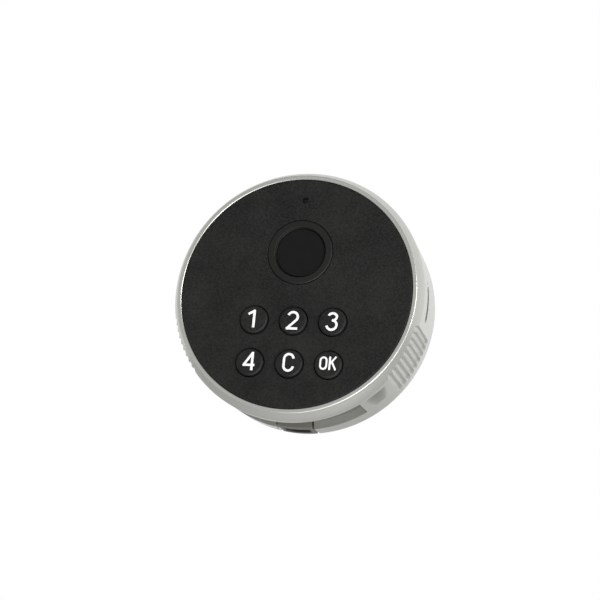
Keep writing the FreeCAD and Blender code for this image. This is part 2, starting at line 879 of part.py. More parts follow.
def lock_barrel():
    body = new_body("lock_barrel")
    tail = -d.barrel_length
    clip_front = clip_rear + d.clip_thick + d.clip_gap
    spin(body, "Barrel", [
        (d.barrel_bore, tail),
        (d.barrel_radius - d.barrel_chamfer, tail),
        (d.barrel_radius, tail + d.barrel_chamfer),
        (d.barrel_radius, d.gasket_thick),
        (d.base_radius, d.gasket_thick),
        (d.base_radius, base_front - d.base_chamfer),
        (d.base_radius - d.base_chamfer, base_front),
        (d.neck_radius, base_front),
        (d.neck_radius, clip_rear - d.clip_gap),
        (d.clip_groove, clip_rear - d.clip_gap),
        (d.clip_groove, clip_front),
        (d.neck_radius, clip_front),
        (d.neck_radius, d.neck_front),
        (d.barrel_bore, d.neck_front),
    ])
    flats = new_sketch(body, "FlatsSketch", "XZ_Plane", 0)
    reach = d.barrel_radius + over
    for side in (-1, 1):
        rectangle(flats, side * d.barrel_flat, -reach, side * reach, reach)
    pocket(body, "Flats", flats, d.barrel_length + over)
    hole = new_sketch(body, "StopHoleSketch", "XZ_Plane", base_front)
    circle(hole, *polar(d.stop_circle, d.stop_angle), d.stop_radius)
    pocket(body, "StopHole", hole, d.stop_seat)
    return node(body, "lock_barrel")


def stop_pin():
    body = new_body("stop_pin")
    sketch = new_sketch(body, "PinSketch", "XZ_Plane", base_front - d.stop_seat)
    circle(sketch, *polar(d.stop_circle, d.stop_angle), d.stop_radius)
    pad(body, "Pin", sketch, d.stop_seat + d.ledge_depth - d.stop_end_gap - base_front)
    return node(body, "stop_pin")


def ring(name, inner, outer, rear, thick):
    body = new_body(name)
    sketch = new_sketch(body, "RingSketch", "XZ_Plane", rear)
    circle(sketch, 0, 0, outer)
    circle(sketch, 0, 0, inner)
    pad(body, "Ring", sketch, thick)
    return body


def door_gasket():
    return node(ring("door_gasket", d.barrel_radius + d.gasket_gap, d.gasket_radius, 0, d.gasket_thick), "door_gasket")


def retaining_ring():
    body = ring("retaining_ring", d.clip_groove + d.thread_gap, d.clip_radius, clip_rear, d.clip_thick)
    gap = new_sketch(body, "GapSketch", "XZ_Plane", d.neck_front)
    half = d.clip_opening / 2
    rectangle(gap, -(d.clip_radius + over), -half, 0, half)
    pocket(body, "Gap", gap, d.neck_front)
    return node(body, "retaining_ring")


def lock_washer():
    inner = d.barrel_radius + d.washer_gap
    return node(ring("lock_washer", inner, d.washer_radius, -nut_place, d.washer_thick), "lock_washer")


def mounting_nut():
    body = new_body("mounting_nut")
    rear = -(nut_place + d.nut_thick)
    corner = d.nut_flats / math.sqrt(3)
    hexagon = new_sketch(body, "HexagonSketch", "XZ_Plane", rear)
    outline(hexagon, [polar(corner, 30 + 60 * side) for side in range(6)])
    pad(body, "Hexagon", hexagon, d.nut_thick)
    bore = new_sketch(body, "BoreSketch", "XZ_Plane", 0)
    circle(bore, 0, 0, d.barrel_radius + d.thread_gap)
    pocket(body, "Bore", bore, nut_place + d.nut_thick + over)
    spin(body, "CornerChamfer", [
        (d.nut_flats / 2, rear),
        (corner + 1, rear),
        (corner + 1, rear + 1.6),
    ], "Groove")
    return node(body, "mounting_nut")


def spindle():
    body = new_body("spindle")
    end = cam_front
    spin(body, "Shaft", [
        (0, end),
        (d.spindle_radius, end),
        (d.spindle_radius, disc_rear),
        (0, disc_rear),
    ])
    peg = new_sketch(body, "PegSketch", "XZ_Plane", disc_rear)
    half = d.peg_side / 2
    rectangle(peg, -half, -half, half, half)
    pad(body, "Peg", peg, d.disc_thick)
    square = new_sketch(body, "SquareSketch", "XZ_Plane", cam_rear)
    half = d.cam_square / 2
    rectangle(square, -half, -half, half, half)
    pad(body, "Square", square, d.cam_thick)
    tail = new_sketch(body, "CamScrewHoleSketch", "XZ_Plane", cam_rear + d.cam_screw_grip + d.screw_hole_spare)
    circle(tail, 0, 0, d.cam_screw + d.cam_screw_gap)
    pocket(body, "CamScrewHole", tail, d.cam_screw_grip + over * 2)
    nose = new_sketch(body, "DiscScrewHoleSketch", "XZ_Plane", disc_front)
    circle(nose, 0, 0, d.disc_screw + d.cam_screw_gap)
    pocket(body, "DiscScrewHole", nose, d.disc_screw_long + d.screw_hole_spare)
    return node(body, "spindle")


def drive_disc():
    body = new_body("drive_disc")
    disc = new_sketch(body, "DiscSketch", "XZ_Plane", disc_rear)
    circle(disc, 0, 0, d.disc_radius)
    half = d.peg_side / 2 + d.peg_gap
    rectangle(disc, -half, -half, half, half)
    pad(body, "Disc", disc, d.disc_thick)
    notch = new_sketch(body, "NotchSketch", "XZ_Plane", disc_front)
    half = d.pin_wide / 2 + d.pin_gap
    rectangle(notch, d.disc_radius - d.disc_notch, -half, d.disc_radius + 1, half)
    cut = pocket(body, "Notch", notch, d.disc_thick)
    polar_pattern(body, "Notches", cut, 4, full_turn)
    return node(body, "drive_disc")


def disc_screw():
    body = new_body("disc_screw")
    rim = d.disc_screw_head_high / 4
    spin(body, "Screw", [
        (0, disc_front - d.disc_screw_long),
        (d.disc_screw, disc_front - d.disc_screw_long),
        (d.disc_screw, disc_front),
        (d.disc_screw_head, disc_front),
        (d.disc_screw_head, disc_front + d.disc_screw_head_high - rim),
        (d.disc_screw_head - rim, disc_front + d.disc_screw_head_high),
        (0, disc_front + d.disc_screw_head_high),
    ])
    return node(body, "disc_screw")


def cam():
    body = new_body("cam")
    radius = d.cam_width / 2
    plate = new_sketch(body, "PlateSketch", "XZ_Plane", cam_rear)
    outline(plate, [
        (radius, 0),
        (radius, d.cam_reach - radius, radius),
        (0, d.cam_reach, radius),
        (-radius, d.cam_reach - radius),
        (-radius, 0, radius),
        (0, -radius, radius),
    ])
    pad(body, "Plate", plate, d.cam_thick)
    square = new_sketch(body, "SquareSketch", "XZ_Plane", cam_front + 1)
    half = d.cam_square / 2 + d.peg_gap
    rectangle(square, -half, -half, half, half)
    pocket(body, "Square", square, d.cam_thick + 2)
    return node(body, "cam")


def cam_fixing():
    washer_rear = cam_rear - d.cam_washer_thick
    washer = ring("cam_washer", d.cam_screw + 0.2, d.cam_washer_radius, washer_rear, d.cam_washer_thick)
    node(washer, "cam_washer")
    part = screw("cam_screw", d.cam_screw, d.cam_screw_head, d.cam_screw_head_high,
                 washer_rear - d.cam_screw_head_high, d.cam_washer_thick + d.cam_screw_grip)
    node(part, "cam_screw")


def clutch_pin():
    body = new_body("clutch_pin")
    block = new_sketch(body, "BlockSketch", "XZ_Plane", disc_rear + d.pin_gap)
    half = d.pin_wide / 2
    rectangle(block, pin_start, -half, pin_start + d.pin_length, half)
    pad(body, "Block", block, d.disc_thick - d.pin_gap * 2)
    bore = new_sketch(body, "BoreSketch", "YZ_Plane", pin_start + d.pin_length)
    circle(bore, -clutch_depth, 0, d.lead_screw + d.lead_screw_gap)
    pocket(body, "Bore", bore, d.pin_length - d.lead_screw_tip + 0.1)
    return node(body, "clutch_pin")


def lead_screw():
    body = new_body("lead_screw")
    start = pin_start + d.lead_screw_tip
    shaft = new_sketch(body, "ShaftSketch", "YZ_Plane", start)
    circle(shaft, -clutch_depth, 0, d.lead_screw)
    pad(body, "Shaft", shaft, d.motor_start + d.motor_shaft_depth - 0.1 - start)
    return node(body, "lead_screw")


def clutch_motor():
    body = new_body("clutch_motor")
    can = new_sketch(body, "CanSketch", "YZ_Plane", d.motor_start)
    circle(can, -clutch_depth, 0, d.motor_radius)
    pad(body, "Can", can, cradle_outer - d.motor_start)
    shaft = new_sketch(body, "ShaftHoleSketch", "YZ_Plane", d.motor_start + d.motor_shaft_depth)
    circle(shaft, -clutch_depth, 0, d.lead_screw + d.motor_gap)
    pocket(body, "ShaftHole", shaft, d.motor_shaft_depth + over)
    return node(body, "clutch_motor")


def motor_cradle():
    # one moulding on the back plate: an open channel guides the pin and a bore holds the motor
    body = new_body("motor_cradle")
    block = new_sketch(body, "BlockSketch", "XZ_Plane", d.ledge_depth)
    rectangle(block, d.cradle_inner, -d.cradle_half, cradle_outer, d.cradle_half)
    pad(body, "Block", block, d.cradle_front - d.ledge_depth)
    channel = new_sketch(body, "ChannelSketch", "XZ_Plane", d.cradle_front + over)
    half = d.pin_wide / 2 + d.pin_gap
    rectangle(channel, d.cradle_inner - over, -half, d.motor_start - d.cradle_web, half)
    pocket(body, "Channel", channel, d.cradle_front + over - disc_rear)
    seat = new_sketch(body, "SeatSketch", "YZ_Plane", cradle_outer + over)
    circle(seat, -clutch_depth, 0, d.motor_radius + d.motor_gap)
    pocket(body, "Seat", seat, cradle_outer + over - d.motor_start)
    shaft = new_sketch(body, "ShaftHoleSketch", "YZ_Plane", d.motor_start + d.cradle_web / 2)
    circle(shaft, -clutch_depth, 0, d.lead_screw + d.lead_screw_gap * 3)
    pocket(body, "ShaftHole", shaft, d.cradle_web * 2)
    return node(body, "motor_cradle")


def battery():
    wall = d.holder_wall + d.cell_gap
    right = -d.holder_side
    left = right - d.cell_wide - wall * 2
    half = d.cell_tall / 2 + wall
    holder = new_body("battery_holder")
    block = new_sketch(holder, "BlockSketch", "XZ_Plane", d.ledge_depth)
    rectangle(block, left, -half, right, half)
    pad(holder, "Block", block, d.holder_front - d.ledge_depth)
    tray = new_sketch(holder, "TraySketch", "XZ_Plane", d.holder_front)
    rectangle(tray, left + d.holder_wall, d.holder_wall - half, right - d.holder_wall, half - d.holder_wall)
    pocket(holder, "Tray", tray, d.holder_front - d.ledge_depth - d.holder_floor)
    node(holder, "battery_holder")
    cell = new_body("battery_cell")
    seat = d.ledge_depth + d.holder_floor
    section = new_sketch(cell, "SectionSketch", "XY_Plane", -(d.cell_tall / 2))
    x0, x1 = left + wall, right - wall
    y0, y1 = -(seat + d.cell_thick), -seat
    r = d.cell_round
    outline(section, [
        (x0 + r, y0),
        (x1 - r, y0, r),
        (x1, y0 + r),
        (x1, y1 - r, r),
        (x1 - r, y1),
        (x0 + r, y1, r),
        (x0, y1 - r),
        (x0, y0 + r, r),
    ])
    pad(cell, "Cell", section, d.cell_tall)
    node(cell, "battery_cell")


housing_shell()
port_insert()
face_plate()
sensor_ring()
fingerprint_sensor()
keys()
key_switches()
light_pipe()
main_board()
board_screws()
board_parts()
power_socket()
back_plate()
back_screws()
lock_barrel()
stop_pin()
door_gasket()
retaining_ring()
lock_washer()
mounting_nut()
spindle()
drive_disc()
disc_screw()
cam()
cam_fixing()
clutch_pin()
lead_screw()
clutch_motor()
motor_cradle()
battery()

doc.recompute()
faults = [f"{o.Name}: {', '.join(o.State)}" for o in doc.Objects if {"Invalid", "Error"} & set(o.State)]
faults += [f"{part.Label}: no valid shape" for part in nodes if part.Shape.isNull() or not part.Shape.isValid()]
if faults:
    raise RuntimeError("; ".join(faults))

os.makedirs("parts", exist_ok=True)
for part in nodes:
    part.Shape.exportStep(f"parts/{part.Label}.step")
    print(f"{part.Label:20s} {len(part.Shape.Solids)} solids {part.Shape.Volume:10.2f} mm3")
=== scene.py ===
# Fingerprint cam lock, dressed for the render: satin housing, textured plate, keys, sensor and hardware
import json
import math
import bmesh
import bpy
from mathutils import Euler, Matrix, Vector


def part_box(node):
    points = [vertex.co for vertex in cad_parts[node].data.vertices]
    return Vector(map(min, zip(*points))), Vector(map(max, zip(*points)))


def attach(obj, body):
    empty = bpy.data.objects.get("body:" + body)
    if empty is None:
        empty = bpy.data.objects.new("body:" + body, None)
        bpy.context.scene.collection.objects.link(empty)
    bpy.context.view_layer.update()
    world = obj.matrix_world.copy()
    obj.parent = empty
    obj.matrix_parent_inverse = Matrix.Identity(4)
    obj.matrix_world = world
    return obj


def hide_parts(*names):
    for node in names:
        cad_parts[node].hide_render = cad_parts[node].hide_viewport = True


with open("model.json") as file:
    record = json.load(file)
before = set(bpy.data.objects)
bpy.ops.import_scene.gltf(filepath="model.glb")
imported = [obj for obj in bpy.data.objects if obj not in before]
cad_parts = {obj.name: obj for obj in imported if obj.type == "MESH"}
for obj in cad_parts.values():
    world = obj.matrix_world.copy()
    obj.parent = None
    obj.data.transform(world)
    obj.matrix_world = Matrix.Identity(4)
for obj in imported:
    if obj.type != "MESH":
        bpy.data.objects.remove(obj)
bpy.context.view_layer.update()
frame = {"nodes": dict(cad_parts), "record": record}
nodes = frame["nodes"]
bodyOf = {node: body for body, members in frame["record"]["behaviour"]["bodies"].items() for node in members}
slotOf = {part["node"]: part["material_slot"] for part in frame["record"]["subparts"]}
mm = 0.001
faceDepth = -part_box("housing_shell")[0].y / mm  # depths run forwards from the door face
rearDepth = -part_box("housing_shell")[1].y / mm
bellyRadius = -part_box("housing_shell")[0].z / mm
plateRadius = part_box("face_plate")[1].x / mm


class Wire:
    # a socket that can be used in plain maths
    def __init__(self, graph, socket):
        self.graph = graph
        self.socket = socket

    def maths(self, operation, *values):
        return self.graph.add("ShaderNodeMath", {"operation": operation}, dict(enumerate(values)))

    def __add__(self, other):
        return self.maths("ADD", self, other)

    def __sub__(self, other):
        return self.maths("SUBTRACT", self, other)

    def __rsub__(self, other):
        return self.maths("SUBTRACT", other, self)

    def __mul__(self, other):
        return self.maths("MULTIPLY", self, other)

    def __truediv__(self, other):
        return self.maths("DIVIDE", self, other)

    __radd__ = __add__
    __rmul__ = __mul__


class Graph:
    # a node tree, with one method that makes any node in it
    def __init__(self, tree):
        self.tree = tree

    def plug(self, socket, value):
        if isinstance(value, Wire):
            self.tree.links.new(value.socket, socket)
        else:
            socket.default_value = value

    def add(self, kind, settings, inputs, output=0):
        node = self.tree.nodes.new(kind)
        for name, value in settings.items():
            if name == "stops":
                self.setStops(node.color_ramp, value)
            else:
                setattr(node, name, value)
        for name, value in inputs.items():
            self.plug(node.inputs[name], value)
        return Wire(self, node.outputs[output])

    def setStops(self, ramp, stops):
        while len(ramp.elements) < len(stops):
            ramp.elements.new(1)
        for element, (place, shade) in zip(ramp.elements, stops):
            element.position = place
            element.color = (shade, shade, shade, 1)


class Finish(Graph):
    # one material, with its shader and the nodes that feed it
    def __init__(self, name, **settings):
        self.material = bpy.data.materials.new(name)
        self.material.use_nodes = True
        super().__init__(self.material.node_tree)
        self.shader = self.tree.nodes["Principled BSDF"]
        self.feed(**settings)

    def feed(self, **settings):
        for name, value in settings.items():
            self.plug(self.shader.inputs[name.replace("_", " ")], value)

    def place(self):
        return self.add("ShaderNodeTexCoord", {}, {}, "Object")

    def grain(self, size, detail=2, roughness=0.5):
        # soft noise whose features are about size millimetres wide
        inputs = {"Vector": self.place(), "Scale": 1 / (size * mm), "Detail": detail, "Roughness": roughness}
        return self.add("ShaderNodeTexNoise", {}, inputs)

    def between(self, amount, dark, light):
        # mixes two colours, each a plain one or a wire
        dark, light = (shade if isinstance(shade, Wire) else (*shade, 1) for shade in (dark, light))
        return self.add("ShaderNodeMix", {"data_type": "RGBA"}, {0: amount, 6: dark, 7: light}, 2)

    def bump(self, height, depth):
        self.feed(Normal=self.add("ShaderNodeBump", {}, {"Height": height, "Distance": depth * mm}))


def satinMetal(name, dark, light, roughness, grain=0.12, relief=0.0012):
    finish = Finish(name, Metallic=0.85)
    clouds = finish.grain(9, 3)
    fine = finish.grain(grain, 3)
    finish.feed(Base_Color=finish.between(clouds * 0.7 + fine * 0.3, dark, light))
    finish.feed(Roughness=(fine - 0.5) * 0.12 + roughness)
    finish.bump(fine, relief)
    return finish.material


def housingSilver(name):
    # satin plating, rougher down in the scoops and flutes, with painted shade darkening its colour there
    finish = Finish(name, Metallic=0.85)
    clouds = finish.grain(9, 3)
    fine = finish.grain(0.12, 3)
    hollow = finish.add("ShaderNodeAttribute", {"attribute_name": "hollow"}, {}, "Fac")
    silver = finish.between(clouds * 0.7 + fine * 0.3, (0.52, 0.524, 0.49), (0.566, 0.57, 0.537))
    # painted shade: the mask darkens the silver towards dark grey in the scoops and flutes
    shadedSilver = finish.between(hollow, silver, (0.13, 0.13, 0.118))
    finish.feed(Base_Color=shadedSilver, Roughness=(fine - 0.5) * 0.12 + hollow * 0.12 + 0.3)
    finish.bump(fine, 0.0012)
    return finish.material


def plainPlastic(name, dark, light, roughness, grain=0.3, relief=0.006):
    finish = Finish(name)
    fine = finish.grain(grain, 3)
    finish.feed(Base_Color=finish.between(fine, dark, light), Roughness=(fine - 0.5) * 0.15 + roughness)
    finish.bump(fine, relief)
    return finish.material


def texturedBlack(name, roughness=0.5):
    # spark-eroded mould texture: small rounded pits with a coarser waviness below them
    finish = Finish(name, Specular_IOR_Level=0.2)
    pits = finish.grain(0.42, 3, roughness=0.65)
    inputs = {"Vector": finish.place(), "Scale": 2200}
    cells = finish.add("ShaderNodeTexVoronoi", {"feature": "SMOOTH_F1"}, inputs)
    waves = finish.grain(9, 2)
    speckle = (pits - 0.5) * 2.6 + (waves - 0.5) * 1.1 + 0.5
    finish.feed(Base_Color=finish.between(speckle, (0.004, 0.004, 0.0038), (0.016, 0.016, 0.015)))
    finish.feed(Roughness=(waves - 0.5) * 0.1 + (pits - 0.5) * 0.3 + roughness)
    finish.bump(pits * 0.8 + cells * 0.4, 0.03)
    return finish.material


def smoothGlass(name):
    finish = Finish(name, Specular_IOR_Level=0.14)
    haze = finish.grain(3, 2)
    finish.feed(Base_Color=finish.between(haze, (0.004, 0.004, 0.004), (0.006, 0.006, 0.0057)))
    finish.feed(Roughness=haze * 0.12 + 0.3)
    return finish.material


# the opening round the socket, where wide and high are half sizes
opening = {"x": -0.956, "depth": 3.95, "wide": 3.2, "high": 1.45, "softness": 0.06}


def portMoulding(name):
    # grey moulding with painted shadow darkening it inside the socket's opening
    finish = Finish(name)
    o = opening
    fine = finish.grain(0.3, 3)
    spot = finish.place()
    across = finish.add("ShaderNodeSeparateXYZ", {}, {0: spot}, "X")
    along = finish.add("ShaderNodeSeparateXYZ", {}, {0: spot}, "Y")
    wide = (across - o["x"] * mm) / (o["wide"] * mm)
    high = (along + o["depth"] * mm) / (o["high"] * mm)
    reach = wide.maths("MAXIMUM", wide * wide, high * high)
    fade = {"From Min": 1 - o["softness"], "From Max": 1 + o["softness"], "To Min": 1.0, "To Max": 0.0}
    # painted shadow: a mask that is one inside the socket's opening and falls to nought at its edge, mixing in
    # near black
    socketShadow = finish.add("ShaderNodeMapRange", {}, {"Value": reach, **fade})
    grey = finish.between(fine, (0.10, 0.097, 0.085), (0.125, 0.12, 0.105))
    shade = finish.between(socketShadow, grey, (0.012, 0.012, 0.011))
    finish.feed(Base_Color=shade, Roughness=(fine - 0.5) * 0.15 + 0.55)
    finish.bump(fine, 0.006)
    return finish.material


def clearPlastic(name):
    finish = Finish(name, IOR=1.49, Transmission_Weight=0.5, Specular_IOR_Level=0.1)
    haze = finish.grain(1, 2)
    # painted shade: the pipe's colour is near black so that the pinhole it fills reads as a dark hole
    finish.feed(Base_Color=finish.between(haze, (0.006, 0.006, 0.007), (0.012, 0.012, 0.013)))
    finish.feed(Roughness=haze * 0.2 + 0.3)
    return finish.material


def circuitBoard(name):
    finish = Finish(name)
    weave = finish.add("ShaderNodeTexBrick", {}, {"Vector": finish.place(), "Scale": 900})
    copper = finish.grain(1.6, 0)
    tracks = finish.add("ShaderNodeValToRGB", {"stops": [(0.47, 0), (0.5, 1), (0.53, 0)]}, {"Fac": copper})
    finish.feed(Base_Color=finish.between(tracks, (0.012, 0.09, 0.035), (0.03, 0.19, 0.08)), Roughness=0.35)
    finish.bump(weave, 0.004)
    return finish.material


# painted shade: a dark grey for the housing's own walls inside the window and the side slot, where shade falls
recessGrey = plainPlastic("recessGrey", (0.085, 0.083, 0.072), (0.105, 0.102, 0.088), 0.6)
finishes = {
    "satin_silver": housingSilver("satinSilver"),
    "black_shell": texturedBlack("texturedPlate"),
    "black_key": texturedBlack("texturedKey", 0.46),
    "sensor_black": smoothGlass("sensorFace"),
    "sensor_metal": satinMetal("sensorRingMetal", (0.02, 0.02, 0.0192), (0.03, 0.03, 0.0288), 0.45),
    "grey_insert": portMoulding("greyMoulding"),
    "clear_pipe": clearPlastic("clearPipe"),
    "circuit_green": circuitBoard("solderMask"),
    "component_black": plainPlastic("componentBlack", (0.02, 0.02, 0.02), (0.035, 0.035, 0.035), 0.5),
    "switch_metal": satinMetal("pressedSteel", (0.50, 0.50, 0.49), (0.62, 0.62, 0.60), 0.3),
    "screw_steel": satinMetal("screwSteel", (0.45, 0.45, 0.44), (0.60, 0.60, 0.58), 0.28),
    "barrel_nickel": satinMetal("barrelNickel", (0.55, 0.54, 0.51), (0.66, 0.65, 0.61), 0.3),
    "cam_steel": satinMetal("camSteel", (0.46, 0.46, 0.45), (0.60, 0.60, 0.585), 0.33, 0.5, 0.006),
    "gasket_rubber": plainPlastic("gasketRubber", (0.015, 0.015, 0.015), (0.03, 0.03, 0.03), 0.75),
    "drive_brass": satinMetal("driveBrass", (0.55, 0.40, 0.16), (0.70, 0.54, 0.25), 0.3),
    "chassis_plastic": plainPlastic("chassisPlastic", (0.035, 0.035, 0.036), (0.055, 0.055, 0.057), 0.55),
    "cell_wrap": plainPlastic("cellWrap", (0.05, 0.12, 0.28), (0.08, 0.17, 0.36), 0.3),
    "white_plastic": plainPlastic("whiteLegend", (0.76, 0.76, 0.75), (0.82, 0.82, 0.81), 0.5, 0.2, 0.001),
}


def keepFlats(mesh):
    # faces square to the lock's axis stay flat right up to their rounded edges
    bm = bmesh.new()
    bm.from_mesh(mesh)
    for edge in bm.edges:
        square = [abs(face.normal.y) > 0.99999 for face in edge.link_faces]
        if len(square) == 2 and square[0] != square[1]:
            edge.smooth = False
    bm.to_mesh(mesh)
    bm.free()


def finishPiece(name, bm, body, slot, replaces=(), sharp=32):
    # millimetres to metres, normals outwards, smooth shading with sharp corners kept
    bmesh.ops.scale(bm, vec=(mm, mm, mm), verts=bm.verts)
    bmesh.ops.recalc_face_normals(bm, faces=bm.faces)
    mesh = bpy.data.meshes.new(name)
    bm.to_mesh(mesh)
    bm.free()
    mesh.polygons.foreach_set("use_smooth", [True] * len(mesh.polygons))
    mesh.set_sharp_from_angle(angle=math.radians(sharp))
    keepFlats(mesh)
    mesh.materials.clear()  # this also puts every face on the first material
    mesh.materials.append(finishes[slot])
    piece = bpy.data.objects.new(name, mesh)
    bpy.context.scene.collection.objects.link(piece)
    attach(piece, body)
    if replaces:
        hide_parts(*replaces)
    return piece


def turned(profile, sectors=((360, 128),), start=0, closed=True):
    # spins a list of (radius, depth) about the lock's axis, sector by sector with its own number of steps
    bm = bmesh.new()
    angle = math.radians(start)
    verts = [bm.verts.new((r * math.cos(angle), -depth, r * math.sin(angle))) for r, depth in profile]
    ends = verts[1:] + (verts[:1] if closed else [])
    last = verts + [bm.edges.new(pair) for pair in zip(verts, ends)]
    for span, steps in sectors:
        spun = bmesh.ops.spin(bm, geom=last, cent=(0, 0, 0), axis=(0, -1, 0), angle=math.radians(span),
                              steps=steps, use_merge=span == 360, use_duplicate=False)
        last = spun["geom_last"]
    bmesh.ops.remove_doubles(bm, verts=bm.verts, dist=1e-4)
    return bm


def ringSector(inner, outer, rear, front, middle, half, steps=24):
    # a closed block between two radii, two depths and two azimuths
    bm = bmesh.new()
    angle = math.radians(middle - half)
    corners = [(inner, rear), (outer, rear), (outer, front), (inner, front)]
    verts = [bm.verts.new((r * math.cos(angle), -depth, r * math.sin(angle))) for r, depth in corners]
    face = bm.faces.new(verts)
    geometry = [face, *face.edges, *face.verts]
    bmesh.ops.spin(bm, geom=geometry, cent=(0, 0, 0), axis=(0, -1, 0), angle=math.radians(2 * half),
                   steps=steps, use_merge=False, use_duplicate=False)
    bmesh.ops.recalc_face_normals(bm, faces=bm.faces)
    return bm


def rod(radius, rear, front, x=0, z=0, segments=64):
    # a closed cylinder along the lock's axis
    bm = bmesh.new()
    place = Matrix.Translation((x, -rear, z)) @ Matrix.Rotation(math.radians(90), 4, "X")
    made = bmesh.ops.create_circle(bm, cap_ends=True, segments=segments, radius=radius, matrix=place)
    raised = bmesh.ops.extrude_face_region(bm, geom=list(bm.faces))
    up = [item for item in raised["geom"] if isinstance(item, bmesh.types.BMVert)]
    bmesh.ops.translate(bm, vec=(0, rear - front, 0), verts=up)
    bmesh.ops.recalc_face_normals(bm, faces=bm.faces)
    return bm


def join(target, extra):
    mesh = bpy.data.meshes.new("joined")
    extra.to_mesh(mesh)
    extra.free()
    target.from_mesh(mesh)
    bpy.data.meshes.remove(mesh)
    return target


def shaped(bm, cutter):
    # cuts one bmesh out of another with an exact boolean
    made = []
    for part in (bm, cutter):
        bmesh.ops.recalc_face_normals(part, faces=part.faces)
        mesh = bpy.data.meshes.new("shaped")
        part.to_mesh(mesh)
        part.free()
        made.append(bpy.data.objects.new("shaped", mesh))
        bpy.context.scene.collection.objects.link(made[-1])
    cut = made[0].modifiers.new("cut", "BOOLEAN")
    cut.operation = "DIFFERENCE"
    cut.solver = "EXACT"
    cut.object = made[1]
    bpy.context.view_layer.update()
    result = bmesh.new()
    result.from_object(made[0], bpy.context.evaluated_depsgraph_get())
    for thing in made:
        mesh = thing.data
        bpy.data.objects.remove(thing)
        bpy.data.meshes.remove(mesh)
    return result


sharpCorner = math.radians(38)  # an edge is softened where its faces turn more than this


def softenEdges(bm, width, chosen):
    # bevels the sharp edges that chosen accepts by their middle point
    edges = []
    for edge in bm.edges:
        if len(edge.link_faces) == 2 and edge.calc_face_angle(0) > sharpCorner:
            if chosen((edge.verts[0].co + edge.verts[1].co) / 2):
                edges.append(edge)
    bmesh.ops.bevel(bm, geom=edges, offset=width, offset_type="OFFSET", affect="EDGES", segments=2,
                    profile=0.5, material=-1, clamp_overlap=True)


def ease(low, high, value):
    share = min(max((value - low) / (high - low), 0), 1)
    return share * share * (3 - 2 * share)


housing = {
    "pocketRadius": 27.9, "pocketDepth": 2.0, "edgeRadius": 28.95, "edgeDrop": 0.3,
    "bellyDrop": 2.8, "tailRadius": 29.0, "tailRound": 0.8,
    "skirtBore": 26.1, "ledgeDepth": 5.2, "cavityRadius": 25.2,
    "fluteCount": 9, "flutePitch": 3.05, "fluteFirst": 13.4, "fluteRound": 0.8, "fluteDepth": 0.42,
    "fluteFrontDrop": 1.9, "fluteRear": 5.0, "scoopAngle": 48.5, "scoopRound": 7.0, "scoopDepth": 0.85,
    "scoopRear": 8.6, "scoopFront": 16.4, "windowRear": 7.4, "windowFront": 16.6, "windowHalf": 33.5,
    "notchHalf": 9.45, "notchTurn": -2.0, "slotHeight": 0.9, "slotLength": 9.6, "slotWidth": 1.7,
    "slotDepth": 13.0, "slotInner": 24, "slotCut": 10, "cutInner": 24.9, "cutOuter": 34, "fluteMiddle": 12,
    # the last two set how strongly painted shade darkens the scoops and flutes, and how much rougher they are
    "flutesFrom": 10, "bottomFrom": 60, "edgeRound": 0.14, "scoopDull": 0.75, "fluteDull": 0.16,
}


def wallAt(depth):
    h = housing
    widest = faceDepth - h["bellyDrop"]
    tailStart = rearDepth + h["tailRound"]
    slope = (bellyRadius - h["tailRadius"]) / (widest - tailStart)
    return h["tailRadius"] + (depth - tailStart) * slope


def turnBelow(azimuth):
    # degrees below the level line, the same on the left and on the right
    side = azimuth if math.cos(math.radians(azimuth)) > 0 else 180 - azimuth
    return -((side + 180) % 360 - 180)


def fluteCut(azimuth, depth, radius):
    h = housing
    turn = turnBelow(azimuth)
    index = min(max(round((turn - h["fluteFirst"]) / h["flutePitch"]), 0), h["fluteCount"] - 1)
    across = math.radians(turn - h["fluteFirst"] - index * h["flutePitch"]) * radius
    room = h["fluteRound"] ** 2 - across ** 2
    if room <= 0:
        return 0
    cut = math.sqrt(room) - h["fluteRound"] + h["fluteDepth"]
    front = faceDepth - h["fluteFrontDrop"]
    if depth > h["fluteMiddle"]:
        ends = ease(front + 0.6, front - 1.0, depth)
    else:
        ends = ease(h["fluteRear"] - 0.5, h["fluteRear"] + 0.4, depth)
    return max(cut - h["fluteDepth"] * (1 - ends), 0)


def scoopCut(azimuth, depth, radius):
    h = housing
    if not h["scoopRear"] <= depth <= h["scoopFront"]:
        return 0
    across = math.radians(turnBelow(azimuth) - h["scoopAngle"]) * radius
    room = h["scoopRound"] ** 2 - across ** 2
    if room <= 0:
        return 0
    return max(math.sqrt(room) - h["scoopRound"] + h["scoopDepth"] - (bellyRadius - radius), 0)


